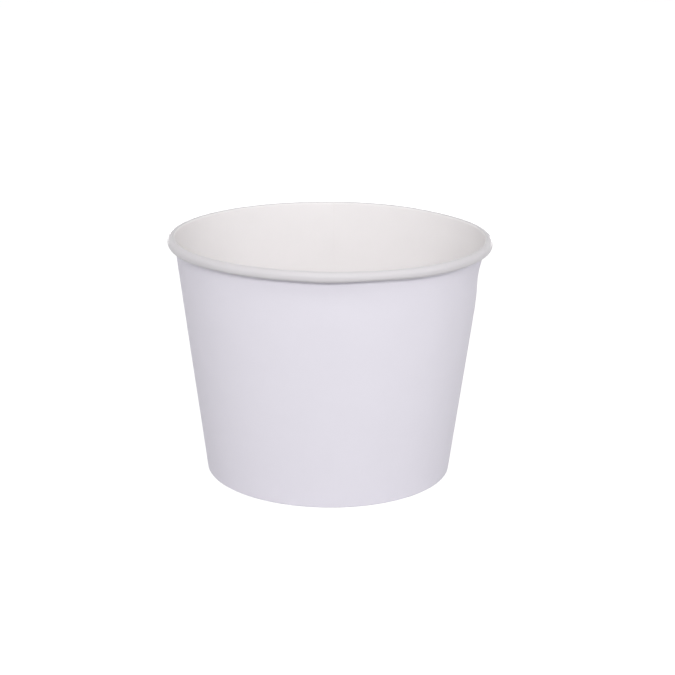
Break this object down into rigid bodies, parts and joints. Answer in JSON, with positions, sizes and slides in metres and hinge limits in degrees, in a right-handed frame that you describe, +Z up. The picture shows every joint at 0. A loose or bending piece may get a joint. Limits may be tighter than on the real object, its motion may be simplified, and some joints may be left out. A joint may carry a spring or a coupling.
{
  "type": "paper food bucket",
  "caption": "Open paper food bucket: tapered white coated-board wall with a rolled rim, a glued lapped side seam and a raised base held in its folded foot.",
  "frame": {"origin": "centre of the foot ring, on the plane that the bucket stands on", "axes": "+Z up along the bucket's axis to the rim; the side seam is at the back, +Y; the front is -Y"},
  "size_m": [0.184, 0.184, 0.1385],
  "materials": {
    "wall_board": "white coated board, smooth, semi-gloss outside, with a faint fibre grain",
    "base_board": "white coated board, satin, with a faint fibre grain"
  },
  "bodies": {
    "root": {"side_wall": "wall_board", "base_disc": "base_board"}
  },
  "joints": []
}
